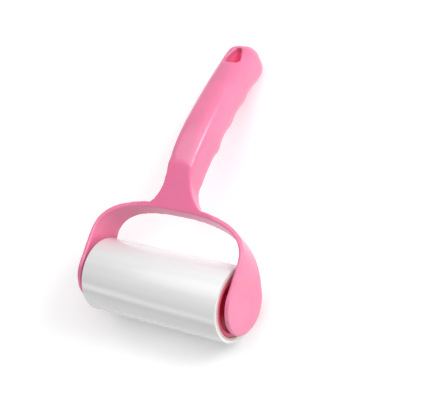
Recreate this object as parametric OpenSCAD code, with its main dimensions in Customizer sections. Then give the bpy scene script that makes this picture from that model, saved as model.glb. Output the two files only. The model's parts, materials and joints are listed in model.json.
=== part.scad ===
// Lint roller. A wound roll of adhesive sheets turns between the arms of a one-piece
// yoke, whose neck runs into a hollow, bow-shaped grip closed by a grooved back shell.
// Frame: X along the roller axis, Y from the roller towards the grip's tip, Z up.
// The handle is drawn level, raised above the roller for the knuckles, and then tilted
// about the roller axis until it lies on the roll and on the last ridge of the grip.

/* [Roll] */
// Length of the roll of sheets
roll_len = 100; // [90:1:104]
// Outer diameter of the full roll
roll_d = 46; // [45:0.5:49]
// Outer diameter of the cardboard core
core_d = 42.4; // [41.6:0.1:43.6]
// Bore of the cardboard core
core_bore_d = 39.6; // [38.6:0.1:40.6]
// Thickness of the loose outermost sheet
sheet_t = 0.15; // [0.1:0.05:0.3]

/* [Axle] */
// Diameter of the stub that the end plug turns on
journal_d = 9; // [7:0.5:11]
// Radial running clearance between stub and plug
running_gap = 0.05; // [0.02:0.01:0.1]
// Diameter of the stub's flange, seated in the paddle
flange_d = 15; // [13:0.5:17]

/* [Yoke] */
// Half of the clear width between the arms
arm_half = 53.9; // [53:0.1:57]
// Thickness of the arms and paddles
arm_t = 3; // [2.4:0.2:4]
// Distance of the arch's inner side from the roller axis
arch_y = 39.7; // [38:0.1:42]
// Thickness of the arch at its middle
arch_t = 3; // [2.6:0.2:4.4]
// Radius of the round paddle at the end of each arm
paddle_r = 18.4; // [17:0.2:20]
// How far the paddle's centre lies from the roller axis, towards the grip
paddle_y = 0.4; // [0:0.1:2]
// How far the paddle's centre lies above the roller axis
paddle_z = 1.8; // [0:0.2:2.4]
// Height of the arch's front edge above the roller axis
front_z = 28.1; // [26:0.1:30]
// Depth of the arch at its middle, from the front edge to the back edge
strap_z = 7.6; // [6.4:0.2:10]

/* [Neck] */
// Half of the neck's width where the block ends inside the grip
neck_half = 8.9; // [8.4:0.1:9.4]
// Radius of the fillets between the arch and the neck
flare_r = 23; // [21:0.5:25]
// Distance of the neck block's end from the roller axis
neck_y = 64.5; // [63:0.5:66]
// Height of the flat facet's upper end above the roller axis
facet_z = 42.8; // [42:0.1:43.6]

/* [Grip] */
// Distance of the grip's tip from the roller axis
tip_y = 158.5; // [156:0.5:166]
// Widest width of the grip
grip_w = 22.8; // [20:0.2:25]
// Depth of the grip above the seam
grip_front = 12; // [11:0.2:13]
// Depth of the grip's ridges below the seam
grip_back_depth = 12.8; // [12:0.2:14]
// Depth of the finger grooves
groove_depth = 2.3; // [1.5:0.1:3]
// Distance between finger grooves
groove_pitch = 18.9; // [18:0.1:20]
// Wall of the two grip shells
wall = 2.4; // [2:0.2:3]
// Width of the hang hole at its base
hole_w = 11.5; // [10:0.5:13]
// Height of the hang hole
hole_h = 13; // [10:0.5:13.5]

/* [Hidden] */
round_fn = 96;
roll_r = roll_d / 2;

// Squareness of the arch's curve, of the neck's section and of the grip's section
arch_power = 2.7;
neck_power = 5.5;
grip_power = 2.9;
// How much wider the grip's section is than the neck block inside it, at the neck
neck_margin = 0.8;
// Height above the roller axis at which the arch's curve starts
arch_base = 14.1;
arch_steps = 44;
paddle_steps = 40;
// How far the neck block reaches into the front shell
lap = 1;
// Where the neck's straight sides start to flare
flare_y = neck_y - 3.5;

// Seam line of the grip: a cubic curve in the side view, as [y, z] from the roller axis
seam = [[51, 31], [75, 37.3], [110, 34], [tip_y, 24]];
body_rings = 40;
tip_rings = 7;
outer_steps = 18;
inner_steps = 10;
// Share of the seam curve taken by the rounded tip
tip_share = 0.062;
// First ridge of the finger grooves, counted from the roller axis
first_ridge_y = 87.5;
groove_count = 3;
hole_y = tip_y - 11.2;
hole_corner = 2.6;
// Depth of the neck in front of the seam, and how much slimmer it is behind it
neck_depth = 9.4;
neck_relief = 2.6;
// End plug: depth in the core, wall, rim, recess of its face, and the web that carries the hub
plug_depth = 14;
plug_wall = 1.6;
rim_w = 3;
plug_recess = 0.4;
plug_chamfer = 0.6;
web_depth = 4;
web_t = 2;
hub_recess = 1.6;
hub_wall = 3.2;
// Axle stub: depth of the flange in its seat, its height over the paddle, and the shoulder
seat_depth = 1.5;
flange_proud = 1;
flange_chamfer = 0.6;
shoulder = 1.5;
shoulder_gap = 0.3;

function bez(p, t) = pow(1 - t, 3) * p[0] + 3 * t * pow(1 - t, 2) * p[1]
    + 3 * t * t * (1 - t) * p[2] + pow(t, 3) * p[3];
function bez_slope(p, t) = pow(1 - t, 2) * (p[1] - p[0]) + 2 * t * (1 - t) * (p[2] - p[1])
    + t * t * (p[3] - p[2]);
function unit(v) = v / norm(v);
// Direction across the seam in the side view, pointing to the front
function across(t) = let (d = unit(bez_slope(seam, t))) [-d[1], d[0]];
function clamp01(x) = max(0, min(1, x));
function smooth(x) = let (u = clamp01(x)) u * u * (3 - 2 * u);
function signed_power(x, p) = sign(x) * pow(abs(x), p);

// Positions of the rings along the seam, closer together round the tip
tip_t = 1 - tip_share;
rings = concat([for (i = [0:body_rings]) tip_t * i / body_rings],
               [for (i = [1:tip_rings]) tip_t + tip_share * sin(82 * i / tip_rings)]);
function tip_scale(t) = t <= tip_t ? 1 : pow(1 - pow((t - tip_t) / tip_share, 2), 0.42);

// Growth of the grip's section from the neck (0) to the hand (1)
function swell(t) = smooth((t - 0.15) / 0.4);
function mix(a, b, k) = a + (b - a) * k;
function half_w(t) = mix(neck_half + neck_margin, grip_w / 2, swell(t)) * tip_scale(t);
function squareness(t) = 2 / mix(neck_power, grip_power, swell(t));
// Height of the flat neck facet above the seam, measured across it
function facet_h(t) = let (
        p = bez(seam, t), n = across(t),
        s = (facet_z - front_z) / (neck_y - arch_y))
    (front_z + s * (p[0] - arch_y) - p[1]) / (n[1] - s * n[0]) - 0.05;
function front_h(t) = mix(neck_depth, grip_front, swell(t)) * tip_scale(t);
// The ridges and grooves of the back, as a depth below the seam
function groove(y) = let (u = (y - first_ridge_y) / groove_pitch)
    u > 0 && u < groove_count ? groove_depth * abs(sin(180 * u))
    : u <= 0 ? neck_relief * smooth(-u * 2.2) : 0;
function back_h(t) = (grip_back_depth - groove(bez(seam, t)[0])) * tip_scale(t);
// The cavity opens a little after the neck and closes before the hang hole
function cavity(t) = smooth((t - 0.1) / 0.12) * smooth((0.8 - t) / 0.1);

// One ring of a shell: the outer arc, then the arc of the cavity back to its start
function shell_ring(t, side) = let (
        c = bez(seam, t), n = across(t), w = half_w(t),
        h = side > 0 ? front_h(t) : back_h(t),
        lid = side > 0 ? facet_h(t) : h,
        wi = max(w * 0.6, w - wall),
        hi = max(0, h - wall) * cavity(t),
        e = squareness(t))
    concat([for (i = [0:outer_steps]) let (a = 180 * i / outer_steps,
                k = min(lid, h * pow(sin(a), e)))
            [w * signed_power(cos(a), e), c[0] + side * n[0] * k, c[1] + side * n[1] * k]],
           [for (i = [inner_steps:-1:0]) let (a = 180 * i / inner_steps,
                k = hi * pow(sin(a), e))
            [wi * signed_power(cos(a), e), c[0] + side * n[0] * k, c[1] + side * n[1] * k]]);

module shell(side) {
    count = outer_steps + inner_steps + 2;
    stations = side > 0 ? concat([-0.04], rings) : rings;
    last = (len(stations) - 1) * count;
    points = [for (t = stations) each shell_ring(t, side)];
    start = [for (i = [0:count - 1]) i];
    end = [for (i = [count - 1:-1:0]) last + i];
    skin = [for (r = [0:len(stations) - 2], i = [0:count - 1]) let (
                a = r * count + i, b = r * count + (i + 1) % count)
            each [[a, a + count, b], [b, a + count, b + count]]];
    turned = [for (f = concat([start, end], skin)) [for (i = [len(f) - 1:-1:0]) f[i]]];
    polyhedron(points, side < 0 ? concat([start, end], skin) : turned, convexity = 6);
}

// Tilt that brings the lowest ridge down to the surface under the roll
back_points = [for (t = rings) bez(seam, t) - across(t) * back_h(t)];
rest_tilt = min([for (p = back_points) atan2(p[1], p[0]) + asin(roll_r / norm(p))]);
// Furthest point of the tilted grip from the roller axis
reach = max([for (t = rings, q = shell_ring(t, 1)) q[1] * cos(rest_tilt) + q[2] * sin(rest_tilt)]);
overall_len = roll_r + reach;

module at_axle() {
    translate([0, roll_r - overall_len / 2, roll_r]) rotate([-rest_tilt, 0, 0]) children();
}

// Curve of the arch from one arm to the other, closed below the roller
function arch_line(half, rise) = concat(
    [for (i = [0:arch_steps]) let (a = 180 * i / arch_steps)
        [half * signed_power(cos(a), 2 / arch_power),
         arch_base + rise * pow(sin(a), 2 / arch_power)]],
    [[-half, -roll_d], [half, -roll_d]]);

// Both fillets that join the arch to the neck, and the neck's end
function flare_line() = let (
        side = [for (a = [180:5:255]) [neck_half + flare_r * (1 + cos(a)),
                                       flare_y + flare_r * sin(a)]])
    concat([[neck_half, neck_y]], side, [for (i = [len(side) - 1:-1:0]) [-side[i][0], side[i][1]]],
           [[-neck_half, neck_y]]);

// Front view of the yoke and the neck
module front_outline() {
    difference() {
        union() {
            polygon(arch_line(arm_half + arm_t, arch_y - arch_base + arch_t));
            polygon(flare_line());
        }
        polygon(arch_line(arm_half, arch_y - arch_base));
    }
}

// Point where a line from p touches the paddle's circle, on the front (1) or the back (-1)
function touch(p, side) = let (
        c = [paddle_y, paddle_z], v = p - c,
        a = atan2(v[1], v[0]) + side * acos(paddle_r / norm(v)))
    [c[0] + paddle_r * cos(a), c[1] + paddle_r * sin(a), a];

// Side view of the yoke and the neck, as [y, z]
module side_outline() {
    seat = bez(seam, 0);
    foot = seat - across(0) * back_h(0);
    crown = [arch_y, front_z];
    heel = [arch_y + arch_t / 2, front_z - strap_z];
    from = touch(crown, 1)[2];
    to = touch(heel, -1)[2] + 360;
    turn = [for (i = [0:paddle_steps]) let (a = from + (to - from) * i / paddle_steps)
        [paddle_y + paddle_r * cos(a), paddle_z + paddle_r * sin(a)]];
    polygon(concat(turn, [heel, foot, seat + across(0) * lap, bez(seam, 0.12) + [0, lap],
                          [neck_y, bez(seam, 0.18)[1] + lap], [neck_y, facet_z], crown]));
}

// Rounded triangle of the hang hole, base towards the neck
module hole_outline() {
    hull_w = hole_w / 2 - hole_corner;
    for (x = [-hull_w, hull_w]) translate([x, -hole_h / 2 + hole_corner]) circle(hole_corner, $fn = 48);
    translate([0, hole_h / 2 - hole_corner]) circle(hole_corner, $fn = 48);
    polygon([[-hull_w, -hole_h / 2], [hull_w, -hole_h / 2],
             [hull_w + hole_corner * cos(30), -hole_h / 2 + hole_corner * (1 + sin(30))],
             [hole_corner * cos(30), hole_h / 2 - hole_corner * (1 - sin(30))],
             [-hole_corner * cos(30), hole_h / 2 - hole_corner * (1 - sin(30))],
             [-hull_w - hole_corner * cos(30), -hole_h / 2 + hole_corner * (1 + sin(30))]]);
}

module hang_hole() {
    translate([0, hole_y, -roll_d]) linear_extrude(2 * roll_d) hole_outline();
}

// Yoke, neck and front shell of the grip, moulded in one piece
module handle_frame() {
    color("#f58fb4") at_axle() resize([0, 0, 0]) difference() {
        union() {
            intersection() {
                translate([0, 0, -roll_d]) linear_extrude(2 * roll_d) front_outline();
                rotate([90, 0, 90]) translate([0, 0, -arm_half * 2])
                    linear_extrude(arm_half * 4) side_outline();
            }
            shell(1);
        }
        hang_hole();
        for (s = [-1, 1]) translate([s * arm_half, 0, 0]) rotate([0, 90, 0])
            cylinder(h = 2 * seat_depth, d = flange_d, center = true, $fn = round_fn);
    }
}

// Back shell of the grip, with three finger grooves
module grip_back() {
    color("#f07ea8") at_axle() resize([0, 0, 0]) difference() {
        shell(-1);
        hang_hole();
    }
}

// Stub on the inner face of each paddle: a flange, a shoulder and the journal
module axle_stub(side) {
    r = journal_d / 2;
    inner = roll_len / 2 - plug_depth;
    start = roll_len / 2 - plug_recess - hub_recess + shoulder_gap;
    face = arm_half - flange_proud;
    color("#f7a3c0") at_axle() rotate([0, side * 90, 0]) rotate_extrude($fn = round_fn)
        polygon([[0, inner], [r - shoulder_gap, inner], [r, inner + 1], [r, start],
                 [r + shoulder, start], [r + shoulder, face], [flange_d / 2 - flange_chamfer, face],
                 [flange_d / 2, face + flange_chamfer], [flange_d / 2, arm_half + seat_depth],
                 [0, arm_half + seat_depth]]);
}

// Plug pressed into each end of the core: rim, recessed web and the hub that turns
module end_plug(side) {
    r = core_bore_d / 2;
    bore = journal_d / 2 + running_gap;
    face = roll_len / 2 - plug_recess;
    back = face - plug_depth;
    web = face - web_depth;
    hub = bore + hub_wall;
    color("#f58fb4") at_axle() rotate([0, side * 90, 0]) rotate_extrude($fn = round_fn)
        polygon([[r - plug_wall, back], [r - plug_chamfer, back], [r, back + 1.5],
                 [r, face - plug_chamfer], [r - plug_chamfer, face], [r - rim_w, face],
                 [r - rim_w, web], [hub, web], [hub, face - hub_recess], [bore, face - hub_recess],
                 [bore, back], [hub, back], [hub, web - web_t], [r - plug_wall, web - web_t]]);
}

module tube(length, outer, inner) {
    rotate([0, 90, 0]) difference() {
        cylinder(h = length, d = outer, center = true, $fn = round_fn);
        cylinder(h = length + 2, d = inner, center = true, $fn = round_fn);
    }
}

// Cardboard core
module core_tube() {
    color("#c9a676") at_axle() tube(roll_len, core_d, core_bore_d);
}

// Wound adhesive sheets below the outermost one
module sheet_roll() {
    color("#f4f1ea") at_axle() tube(roll_len, roll_d - 2 * sheet_t, core_d);
}

// Outermost sheet, the one in use
module outer_sheet() {
    color("#f2f2f3") at_axle() tube(roll_len, roll_d, roll_d - 2 * sheet_t);
}

handle_frame();
grip_back();
axle_stub(-1);  // left_axle_stub
axle_stub(1);  // right_axle_stub
end_plug(-1);  // left_end_plug
end_plug(1);  // right_end_plug
core_tube();
sheet_roll();
outer_sheet();
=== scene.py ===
"""Lint roller: a roll of adhesive sheets in a pink moulded yoke with a bow-shaped grip.

Metres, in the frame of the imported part: X along the roller axis, Y towards the tip, Z up.
"""

import json
import math

import bpy
from mathutils import Matrix, Vector

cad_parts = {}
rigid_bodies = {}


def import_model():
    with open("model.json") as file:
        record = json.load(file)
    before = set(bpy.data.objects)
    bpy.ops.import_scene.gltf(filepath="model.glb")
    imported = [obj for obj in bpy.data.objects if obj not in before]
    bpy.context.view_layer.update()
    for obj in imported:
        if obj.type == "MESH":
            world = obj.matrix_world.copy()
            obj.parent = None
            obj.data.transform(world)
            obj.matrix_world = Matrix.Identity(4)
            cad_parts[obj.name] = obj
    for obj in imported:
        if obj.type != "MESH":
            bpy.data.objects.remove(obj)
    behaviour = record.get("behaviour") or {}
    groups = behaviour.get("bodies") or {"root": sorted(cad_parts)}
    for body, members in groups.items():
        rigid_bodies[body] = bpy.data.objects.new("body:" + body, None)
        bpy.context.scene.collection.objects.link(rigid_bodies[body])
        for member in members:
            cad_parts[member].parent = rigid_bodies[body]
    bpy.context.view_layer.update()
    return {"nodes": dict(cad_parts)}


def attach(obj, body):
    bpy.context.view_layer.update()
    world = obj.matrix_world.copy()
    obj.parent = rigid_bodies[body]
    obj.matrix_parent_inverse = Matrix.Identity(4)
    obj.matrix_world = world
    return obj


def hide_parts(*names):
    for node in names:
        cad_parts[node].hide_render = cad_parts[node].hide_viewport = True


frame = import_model()

# Camera: a short telephoto view down on the roller from its right-hand side.
camera = bpy.data.objects.new("studio_camera", bpy.data.cameras.new("studio_camera"))
camera.location = (0.4014, -0.1135, 0.5989)
camera.rotation_euler = (math.radians(17.783), math.radians(30.187), math.radians(18.371))
camera.data.lens = 96.73
camera.data.clip_start = 0.01
bpy.context.collection.objects.link(camera)
bpy.context.scene.camera = camera
bpy.context.scene.view_settings.view_transform = "Standard"

# ---------------------------------------------------------------------------
# Handle moulding: yoke, neck and the front half of the grip, one piece of satin pink ABS.
# The real one is injection moulded, so its edges are rounded by the tool and the arch runs
# into the neck and the neck into the grip in soft fillets. The neck's flat face is grained.
# ---------------------------------------------------------------------------
AXLE = Vector((0, -0.069202, 0.023))
LIE_ANGLE = math.radians(13.8232)


class Wire:
    """A socket in a material's node tree. Arithmetic on Wires adds Math nodes."""

    def __init__(self, tree, socket=None):
        self.tree = tree
        self.socket = socket

    def node(self, kind, settings, values, output=0):
        """Adds a node: its settings first, then the values or links of its sockets."""
        made = self.tree.nodes.new(kind)
        for name, value in settings.items():
            setattr(made, name, value)
        for key, value in values.items():
            if isinstance(value, Wire):
                self.tree.links.new(made.inputs[key], value.socket)
            else:
                made.inputs[key].default_value = value
        return Wire(self.tree, made.outputs[output])

    def maths(self, operation, *values):
        return self.node("ShaderNodeMath", {"operation": operation}, dict(enumerate(values)))

    def __add__(self, other):
        return self.maths("ADD", self, other)

    def __sub__(self, other):
        return self.maths("SUBTRACT", self, other)

    def __mul__(self, other):
        return self.maths("MULTIPLY", self, other)

    def __pow__(self, other):
        return self.maths("POWER", self, other)

    def __radd__(self, other):
        return self.maths("ADD", other, self)

    def __rsub__(self, other):
        return self.maths("SUBTRACT", other, self)

    def __rmul__(self, other):
        return self.maths("MULTIPLY", other, self)

    def __abs__(self):
        return self.maths("ABSOLUTE", self)

    def sine(self):
        return self.maths("SINE", self)

    def step(self, low, high):
        """0 below low, 1 above high, smooth between them."""
        return self.node("ShaderNodeMapRange", {"interpolation_type": "SMOOTHSTEP"},
                         {0: self, 1: low, 2: high, 3: 0.0, 4: 1.0})

    def noise(self, scale, detail=3.0, rough=0.5):
        return self.node("ShaderNodeTexNoise", {},
                         {"Vector": self, "Scale": scale, "Detail": detail, "Roughness": rough})

    def xyz(self):
        return [self.node("ShaderNodeSeparateXYZ", {}, {0: self}, axis) for axis in range(3)]

    def blend(self, first, second):
        """Colour first where this Wire is 0, second where it is 1."""
        paint = [value if isinstance(value, Wire) else (*value, 1) for value in (first, second)]
        return self.node("ShaderNodeMix", {"data_type": "RGBA"},
                         {0: self, 6: paint[0], 7: paint[1]}, 2)


def start_material(name):
    """An empty principled material: its shader node, and the object's coordinates as a Wire."""
    material = bpy.data.materials.new(name)
    material.use_nodes = True
    tree = material.node_tree
    shader = tree.nodes["Principled BSDF"]
    place = Wire(tree).node("ShaderNodeTexCoord", {}, {}, "Object")
    return material, shader, place


def finish_surface(shader, colour, roughness, height, depth):
    """Links the colour and the roughness, and a bump of the given depth in metres."""
    tree = colour.tree
    tree.links.new(shader.inputs["Base Color"], colour.socket)
    tree.links.new(shader.inputs["Roughness"], roughness.socket)
    bump = colour.node("ShaderNodeBump", {}, {"Strength": 1.0, "Distance": depth, "Height": height})
    tree.links.new(shader.inputs["Normal"], bump.socket)


def only(*objects):
    """Selects just these objects and makes the first one active."""
    bpy.ops.object.select_all(action="DESELECT")
    for item in objects:
        item.select_set(True)
    bpy.context.view_layer.objects.active = objects[0]


def edit(item, test=None):
    """Opens the piece in edit mode with the vertices that pass the test selected."""
    only(item)
    for face in item.data.polygons:
        face.select = test is None
    for edge in item.data.edges:
        edge.select = test is None
    for vertex in item.data.vertices:
        vertex.select = test is None or test(vertex.co)
    bpy.ops.object.mode_set(mode="EDIT")
    bpy.ops.mesh.select_mode(type="VERT")


def pick(item, test):
    """Selects other vertices of the piece that is open in edit mode."""
    bpy.ops.object.mode_set(mode="OBJECT")
    edit(item, test)


def close_edit():
    bpy.ops.object.mode_set(mode="OBJECT")


def apply_modifier(item, kind, **settings):
    only(item)
    modifier = item.modifiers.new(kind.title(), kind)
    for name, value in settings.items():
        setattr(modifier, name, value)
    bpy.ops.object.modifier_apply(modifier=modifier.name)


def lay_back(item):
    """Turns a piece drawn in the level frame of the axle to where the handle lies."""
    only(item)
    item.rotation_euler = (-LIE_ANGLE, 0, 0)
    item.location = AXLE
    bpy.ops.object.transform_apply(location=True, rotation=True, scale=True)


def seam_height(y):
    """Height of the grip's seam over the axle at the distance y, in the level frame."""
    low, high = 0.0, 1.0
    for _ in range(40):
        t = (low + high) / 2
        reach = (0.051 * (1 - t) ** 3 + 0.225 * t * (1 - t) ** 2
                 + 0.330 * t * t * (1 - t) + 0.1585 * t ** 3)
        low, high = (t, high) if reach < y else (low, t)
    return (0.031 * (1 - t) ** 3 + 0.1119 * t * (1 - t) ** 2
            + 0.102 * t * t * (1 - t) + 0.024 * t ** 3)


# The two CAD mouldings, copied and merged, give the skin; a voxel pass fuses them.
only(frame["nodes"]["handle_frame"], frame["nodes"]["grip_back"])
bpy.ops.object.duplicate()
bpy.ops.object.parent_clear(type="CLEAR_KEEP_TRANSFORM")
bpy.ops.object.join()
handle = bpy.context.object
handle.name = handle.data.name = "handle_moulding"
edit(handle)
bpy.ops.mesh.remove_doubles(threshold=1e-5)
close_edit()
bpy.ops.object.transform_apply(location=True, rotation=True, scale=True)
handle.data.remesh_voxel_size = 0.0005
handle.data.use_remesh_fix_poles = False
bpy.ops.object.voxel_remesh()

# The hang hole's mouth: a rounded triangle that flares out to the front.
mouth_radius = 0.0082
mouth_corner = 0.0042
mouth_place = (0, 0.1458, 0.0335)
flare_centre = (0, 0.1478, 0)
bpy.ops.mesh.primitive_circle_add(vertices=3, radius=mouth_radius, fill_type="NGON",
                                  location=mouth_place, rotation=(0, 0, 0))
mouth = bpy.context.object
edit(mouth)
bpy.ops.mesh.bevel(offset=mouth_corner, offset_type="OFFSET", segments=8, affect="VERTICES")
for rise, spread in ((0.0010, 1.03), (0.0009, 1.08), (0.0008, 1.15), (0.0007, 1.24),
                     (0.0005, 1.30), (0.0030, 1.60)):
    bpy.ops.mesh.extrude_region_move(TRANSFORM_OT_translate={"value": (0, 0, rise)})
    bpy.ops.transform.resize(value=(spread, spread, 1), center_override=flare_centre)
close_edit()
lay_back(mouth)
edit(mouth)
bpy.ops.mesh.normals_make_consistent(inside=False)
close_edit()
apply_modifier(handle, "BOOLEAN", object=mouth, operation="DIFFERENCE", solver="EXACT")
bpy.data.objects.remove(mouth)

edit(handle)
bpy.ops.mesh.vertices_smooth(factor=0.5, repeat=14)


def level(co):
    """A point of the lying handle as (x, distance, height) in the level frame of the axle."""
    return Matrix.Rotation(LIE_ANGLE, 3, "X") @ (co - AXLE)


def near(co, centre, reach):
    """True for a point less than reach from the centre, which is in the level frame."""
    return (level(co) - Vector(centre)).length < reach


# Fillets: the corners and feet of the neck, the hole's lip, and where the back shell starts.
fillets = (((0.009, 0.0645, 0.0390), 0.0075, 40),
           ((-0.009, 0.0645, 0.0390), 0.0075, 40),
           ((0.0115, 0.0480, 0.0200), 0.0075, 60),
           ((-0.0115, 0.0480, 0.0200), 0.0075, 60),
           ((0.0, 0.1470, 0.0290), 0.0110, 24),
           ((0.009, 0.0525, 0.0260), 0.0080, 80),
           ((-0.009, 0.0525, 0.0260), 0.0080, 80),
           ((0.0, 0.0525, 0.0215), 0.0080, 80))
for centre, reach, passes in fillets:
    pick(handle, lambda co: near(co, centre, reach))
    bpy.ops.mesh.vertices_smooth(factor=0.5, repeat=passes)
close_edit()

# The seam's cutter: a sheet along the seam, thickened towards the finger grooves.
seam_start = 0.051
seam_end = 0.1585
seam_rows = 28
row_step = 0.004
cutter_length = seam_rows * row_step
bpy.ops.mesh.primitive_grid_add(x_subdivisions=1, y_subdivisions=seam_rows, size=1,
                                location=(0, 0, 0))
cutter = bpy.context.object
edit(cutter)
bpy.ops.transform.resize(value=(0.040, cutter_length, 1), center_override=(0, 0, 0))
bpy.ops.transform.translate(value=(0, seam_start + cutter_length / 2, 0))
for row in range(seam_rows + 1):
    y = seam_start + row_step * row
    pick(cutter, lambda co: abs(co.y - y) < 1e-5)
    bpy.ops.transform.translate(value=(0, 0, seam_height(min(y, seam_end))))
pick(cutter, lambda co: True)
bpy.ops.mesh.extrude_region_move(TRANSFORM_OT_translate={"value": (0, 0.0127, -0.0484)})
bpy.ops.mesh.select_all(action="SELECT")
bpy.ops.mesh.normals_make_consistent(inside=False)
close_edit()
lay_back(cutter)

only(handle)
bpy.ops.object.duplicate()
back = bpy.context.object
back.name = back.data.name = "grip_back_shell"
apply_modifier(handle, "BOOLEAN", object=cutter, operation="DIFFERENCE", solver="EXACT")
apply_modifier(back, "BOOLEAN", object=cutter, operation="INTERSECT", solver="EXACT")
bpy.data.objects.remove(cutter)


PINK = (0.82, 0.205, 0.37)
GRAIN_PINK = (0.90, 0.150, 0.345)


def pink_plastic(name, grained):
    """Satin pink ABS: slight colour drift, flow haze and a very fine moulded texture."""
    material, shader, place = start_material(name)
    cloud = place.noise(38.0, 3.0, 0.55)
    speck = place.noise(1400.0, 2.0, 0.6)
    orange = place.noise(2600.0, 2.0, 0.5)
    deep = tuple(0.90 * channel for channel in PINK)
    colour = cloud.step(0.30, 0.72).blend(deep, PINK)
    rough = 0.24 + 0.06 * cloud + 0.04 * speck
    height = 0.12 * orange
    if grained:
        x, y, z = place.xyz()
        level_y = (y - AXLE.y) * math.cos(LIE_ANGLE) - (z - AXLE.z) * math.sin(LIE_ANGLE)
        level_z = (y - AXLE.y) * math.sin(LIE_ANGLE) + (z - AXLE.z) * math.cos(LIE_ANGLE)
        # The neck's face slopes up from the arch's front edge, and its grain ends in a curve.
        off = abs(level_z - (0.0281 + 0.593 * (level_y - 0.0397)))
        top = 0.0665 - 34.0 * x * x
        grain_mask = ((1 - off.step(0.0011, 0.0020)) * (1 - (level_y - top).step(-0.0006, 0.0004))
                      * level_y.step(0.0390, 0.0400))
        grain = place.noise(1200.0, 2.0, 0.6)
        height = height + grain_mask * 6.0 * grain
        rough = rough + 0.18 * grain_mask
        colour = (grain_mask * (0.15 + 0.85 * grain.step(0.38, 0.62))).blend(
            colour, GRAIN_PINK)
        # Painted light: the inside of the hang hole glows deep pink by emission, standing in for
        # light through its thin walls and light bounced inside it.
        away = (x * x + (level_y - 0.1473) ** 2 + (level_z - 0.0265) ** 2) ** 0.5
        painted_hole_glow = (1 - away.step(0.0070, 0.0095)).blend((0.0, 0.0, 0.0), (0.28, 0.011, 0.045))
        painted_hole_glow.tree.links.new(shader.inputs["Emission Color"], painted_hole_glow.socket)
        shader.inputs["Emission Strength"].default_value = 1.0
    finish_surface(shader, colour, rough, height, 0.00006)
    shader.inputs["Specular IOR Level"].default_value = 0.7
    shader.inputs["Sheen Weight"].default_value = 0.20
    shader.inputs["Sheen Roughness"].default_value = 0.5
    shader.inputs["Subsurface Weight"].default_value = 0.30
    shader.inputs["Subsurface Radius"].default_value = (1.0, 0.30, 0.40)
    shader.inputs["Subsurface Scale"].default_value = 0.004
    return material


def dress(item, material, body, slot, *nodes):
    """Gives a finished piece its material and its body, and hides the CAD nodes that it stands for.
    """
    item.data.materials.clear()
    item.data.materials.append(material)
    only(item)
    bpy.ops.object.shade_smooth_by_angle(angle=math.radians(40))
    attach(item, body)
    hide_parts(*nodes)


dress(handle, pink_plastic("pink_frame_plastic", True), "handle", "pink_frame", "handle_frame")

# ---------------------------------------------------------------------------
# Back shell of the grip: a second pink moulding with the finger grooves, closing the
# hollow grip along a hairline seam. It was cut off the fused skin above.
# ---------------------------------------------------------------------------
dress(back, pink_plastic("pink_back_plastic", False), "handle", "pink_back", "grip_back")

# ---------------------------------------------------------------------------
# Axle stubs: a turned-looking acetal stub seated in each paddle, with a flange, a shoulder
# and a chamfered journal that the roll's end plug turns on.
# ---------------------------------------------------------------------------


def draw_profile(name, profile):
    """A new piece, open in edit mode, with the (distance along the axle, radius) outline."""
    bpy.ops.mesh.primitive_plane_add(size=0.001, location=(0, 0, 0))
    piece = bpy.context.object
    piece.name = piece.data.name = name
    edit(piece)
    bpy.ops.mesh.merge(type="CENTER")
    bpy.ops.transform.translate(value=(profile[0][0], 0, profile[0][1]))
    for last, following in zip(profile, profile[1:]):
        bpy.ops.mesh.extrude_vertices_move(
            TRANSFORM_OT_translate={"value": (following[0] - last[0], 0, following[1] - last[1])})
    bpy.ops.mesh.select_all(action="SELECT")
    return piece


def turn(name, profile, material, body, slot, node):
    """Spins a closed profile round the axle and dresses the piece that it makes."""
    piece = draw_profile(name, profile)
    bpy.ops.transform.translate(value=AXLE)
    bpy.ops.mesh.spin(steps=128, angle=2 * math.pi, center=AXLE, axis=(1, 0, 0))
    bpy.ops.mesh.select_all(action="SELECT")
    bpy.ops.mesh.remove_doubles(threshold=2e-6)
    bpy.ops.mesh.normals_make_consistent(inside=False)
    close_edit()
    bpy.ops.object.transform_apply(location=True, rotation=True, scale=True)
    dress(piece, material, body, slot, node)


def rounded(points, radius, steps=4):
    """The closed profile with each corner between two edges rounded by the radius."""
    shaped = []
    count = len(points)
    for i, corner in enumerate(points):
        here = Vector(corner)
        before = Vector(points[i - 1]) - here
        after = Vector(points[(i + 1) % count]) - here
        cut = min(radius, before.length * 0.4, after.length * 0.4)
        start = here + before.normalized() * cut
        end = here + after.normalized() * cut
        for k in range(steps + 1):
            t = k / steps
            shaped.append(tuple((1 - t) ** 2 * start + 2 * t * (1 - t) * here + t * t * end))
    shaped.append(shaped[0])
    return shaped


def acetal():
    """Slightly waxy pink acetal with faint ejector haze."""
    material, shader, place = start_material("axle_acetal")
    cloud = place.noise(160.0, 2.0, 0.5)
    fine = place.noise(3000.0, 2.0, 0.5)
    colour = cloud.blend((0.80, 0.20, 0.36), (0.90, 0.28, 0.46))
    finish_surface(shader, colour, 0.34 + 0.10 * cloud, fine, 0.00001)
    return material


axle_finish = acetal()
for side, name in ((-1, "left_axle_stub"), (1, "right_axle_stub")):
    stub = [(0.0360, 0.0), (0.0360, 0.0042), (0.0370, 0.0045), (0.0483, 0.0045),
            (0.0483, 0.0060), (0.0529, 0.0060), (0.0529, 0.0069), (0.0535, 0.0075),
            (0.0554, 0.0075), (0.0554, 0.0)]
    shape = [stub[0]] + rounded(stub, 0.0003, 3)[4:-5] + [stub[-1]]
    turn(name + "_pin", [(side * x, r) for x, r in shape], axle_finish,
         "handle", "axle_plastic", name)

# ---------------------------------------------------------------------------
# End plugs: glossy pink polypropylene plugs pressed into both ends of the core. A rim
# shows inside the ring of paper, and the web sunk behind it carries the hub.
# ---------------------------------------------------------------------------


def axle_distance(place):
    """How far each point of a turned piece is from the axle's line."""
    x, y, z = place.xyz()
    return ((y - AXLE.y) ** 2 + (z - AXLE.z) ** 2) ** 0.5


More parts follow.
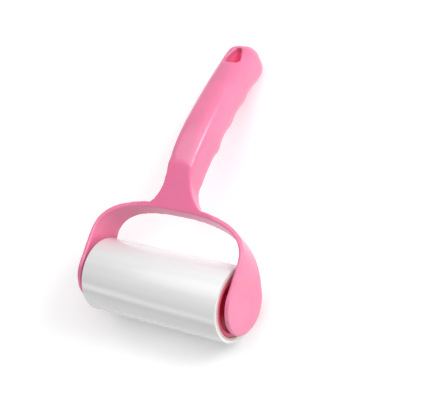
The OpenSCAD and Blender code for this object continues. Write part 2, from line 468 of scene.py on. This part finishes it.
def polypropylene():
    """Pink polypropylene, faint flow rings round the axle; the sunken web and the recess wall are
    painted dark red as painted shade.
    """
    material, shader, place = start_material("plug_polypropylene")
    radius = axle_distance(place)
    flow = (radius * 4000.0 + 3.0 * place.noise(120.0)).sine()
    cloud = place.noise(90.0, 2.0, 0.5)
    # Painted shade: the sunken web and the wall inside the rim get a dark red colour, and only the
    # rim's face has the plug's own pink.
    painted_shade_web = cloud.blend((0.62, 0.02, 0.05), (0.70, 0.04, 0.08))
    colour = radius.step(0.0170, 0.0178).blend(painted_shade_web, (0.88, 0.16, 0.32))
    finish_surface(shader, colour, 0.26 + 0.08 * cloud, flow, 0.000008)
    shader.inputs["Specular IOR Level"].default_value = 0.25
    return material


plug_finish = polypropylene()
for side, name in ((-1, "left_end_plug"), (1, "right_end_plug")):
    plug = [(0.0356, 0.0182), (0.0356, 0.0192), (0.0371, 0.0198), (0.0490, 0.0198),
            (0.0496, 0.0192), (0.0496, 0.0168), (0.0456, 0.0168), (0.0456, 0.00775),
            (0.0480, 0.00775), (0.0480, 0.00455), (0.0356, 0.00455), (0.0356, 0.00775),
            (0.0436, 0.00775), (0.0436, 0.0182)]
    turn(name + "_moulding", [(side * x, r) for x, r in rounded(plug, 0.0004)], plug_finish,
         "roller", "plug_plastic", name)

# ---------------------------------------------------------------------------
# Core: a wound cardboard tube, the bought refill's centre. The plugs fit tightly in its
# bore and the sheets are wound on it.
# ---------------------------------------------------------------------------


def cardboard():
    """Pale grey-cream board with fibres and the faint lines of its wound layers."""
    material, shader, place = start_material("core_cardboard")
    fibre = place.noise(900.0, 4.0, 0.65)
    layers = (axle_distance(place) * 16000.0).sine()
    colour = fibre.step(0.30, 0.70).blend((0.60, 0.54, 0.46), (0.76, 0.71, 0.63))
    finish_surface(shader, colour, 0.78 + 0.14 * fibre, fibre + 0.3 * layers, 0.00004)
    return material


core = [(-0.0500, 0.0198), (0.0500, 0.0198), (0.0500, 0.0212), (-0.0500, 0.0212)]
turn("core_board_tube", rounded(core, 0.00025), cardboard(),
     "roller", "core_board", "core_tube")

# ---------------------------------------------------------------------------
# Wound sheets: the stack of adhesive paper on the core. Only its two end faces show, as a
# cream ring of paper edges that are slightly uneven from layer to layer.
# ---------------------------------------------------------------------------


def paper_edges():
    """Cut edges of wound paper: fine concentric layers in cream and white."""
    material, shader, place = start_material("wound_paper_edges")
    layers = 0.5 + 0.5 * (axle_distance(place) * 9000.0 + 2.0 * place.noise(60.0)).sine()
    dust = place.noise(700.0, 3.0, 0.6)
    colour = (0.5 * layers + 0.5 * dust).blend((0.84, 0.79, 0.74), (0.95, 0.93, 0.90))
    finish_surface(shader, colour, 0.62 + 0.16 * dust, layers + 0.6 * dust, 0.00004)
    return material


stack = [(-0.0500, 0.0212), (0.0500, 0.0212), (0.0500, 0.02285), (-0.0500, 0.02285)]
turn("wound_sheets", rounded(stack, 0.00020), paper_edges(),
     "roller", "sheet_edges", "sheet_roll")

# ---------------------------------------------------------------------------
# Outermost sheet: white paper with a clear tacky coat, satin, one turn round the roll. Its
# free edge lies on the underside, where the last used sheet was torn off.
# ---------------------------------------------------------------------------


def tacky_sheet():
    """White adhesive paper: soft sheen, faint bands from winding, fine paper tooth."""
    material, shader, place = start_material("tacky_paper")
    stretched = place.node("ShaderNodeMapping", {}, {0: place, 3: (0.05, 1.0, 1.0)})
    band = stretched.noise(110.0, 2.0, 0.5)
    tooth = place.noise(2400.0, 3.0, 0.6)
    colour = band.step(0.35, 0.70).blend((0.74, 0.74, 0.745), (0.78, 0.78, 0.785))
    finish_surface(shader, colour, 0.34 + 0.10 * band + 0.06 * tooth,
                   0.12 * band + 0.10 * tooth, 0.00012)
    shader.inputs["Coat Weight"].default_value = 0.8
    shader.inputs["Coat Roughness"].default_value = 0.20
    return material


section = rounded([(-0.0500, 0.02286), (0.0500, 0.02286), (0.0500, 0.0230), (-0.0500, 0.0230)],
                  0.00006, 2)
sheet = draw_profile("outermost_sheet", section)
bpy.ops.mesh.remove_doubles(threshold=2e-6)
bpy.ops.mesh.edge_face_add()
bpy.ops.transform.rotate(value=math.radians(150), orient_axis="X", center_override=(0, 0, 0))
bpy.ops.transform.translate(value=AXLE)
bpy.ops.mesh.spin(steps=180, angle=math.radians(352), center=AXLE, axis=(1, 0, 0))
bpy.ops.mesh.select_all(action="SELECT")
bpy.ops.mesh.normals_make_consistent(inside=False)
close_edit()
bpy.ops.object.transform_apply(location=True, rotation=True, scale=True)
dress(sheet, tacky_sheet(), "roller", "sheet_face", "outer_sheet")

# ---------------------------------------------------------------------------
# Studio: a plain pale floor under a soft key from the upper right, a broad top light and a
# low strip of light from the front left.
# ---------------------------------------------------------------------------
bpy.ops.mesh.primitive_grid_add(x_subdivisions=8, y_subdivisions=8, size=6, location=(0, 0, 0))
floor = bpy.context.object
floor.name = floor.data.name = "studio_floor"
material, shader, place = start_material("studio_floor_white")
haze = place.noise(3.0, 2.0, 0.5)
finish_surface(shader, haze.blend((0.95, 0.95, 0.95), (0.97, 0.97, 0.97)), 0.85 + 0.05 * haze,
               haze, 0.0001)
shader.inputs["Emission Color"].default_value = (1, 1, 1, 1)
shader.inputs["Emission Strength"].default_value = 0.16
floor.data.materials.append(material)


def soft_box(name, spot, length, width, power):
    """A rectangular soft box with its length level and along X, aimed at the object."""
    lamp = bpy.data.objects.new(name, bpy.data.lights.new(name, "AREA"))
    lamp.data.shape = "RECTANGLE"
    lamp.data.size = length
    lamp.data.size_y = width
    lamp.data.energy = power
    away = (Vector(spot) - Vector((0, -0.03, 0.02))).normalized()
    along = (Vector((1, 0, 0)) - away * away.x).normalized()
    lamp.matrix_world = Matrix.Translation(spot) @ Matrix(
        (along, away.cross(along), away)).transposed().to_4x4()
    bpy.context.collection.objects.link(lamp)


soft_box("key_box", (0.98, 0.52, 0.70), 0.50, 0.50, 8.7)
soft_box("overhead_box", (0.05, 0.30, 1.08), 2.00, 0.80, 9.6)
soft_box("front_strip", (-0.66, -1.00, 0.42), 1.30, 0.26, 3.2)

# The studio's air is brighter on the key's side.
world = bpy.data.worlds.new("studio_air")
bpy.context.scene.world = world
world.use_nodes = True
background = world.node_tree.nodes["Background"]
ray = Wire(world.node_tree).node("ShaderNodeTexCoord", {}, {}, "Generated")
x, y, z = ray.xyz()
glow = (0.7 * (x + y)).step(-0.8, 0.8).blend((0.11, 0.11, 0.11), (0.46, 0.46, 0.46))
world.node_tree.links.new(background.inputs["Color"], glow.socket)
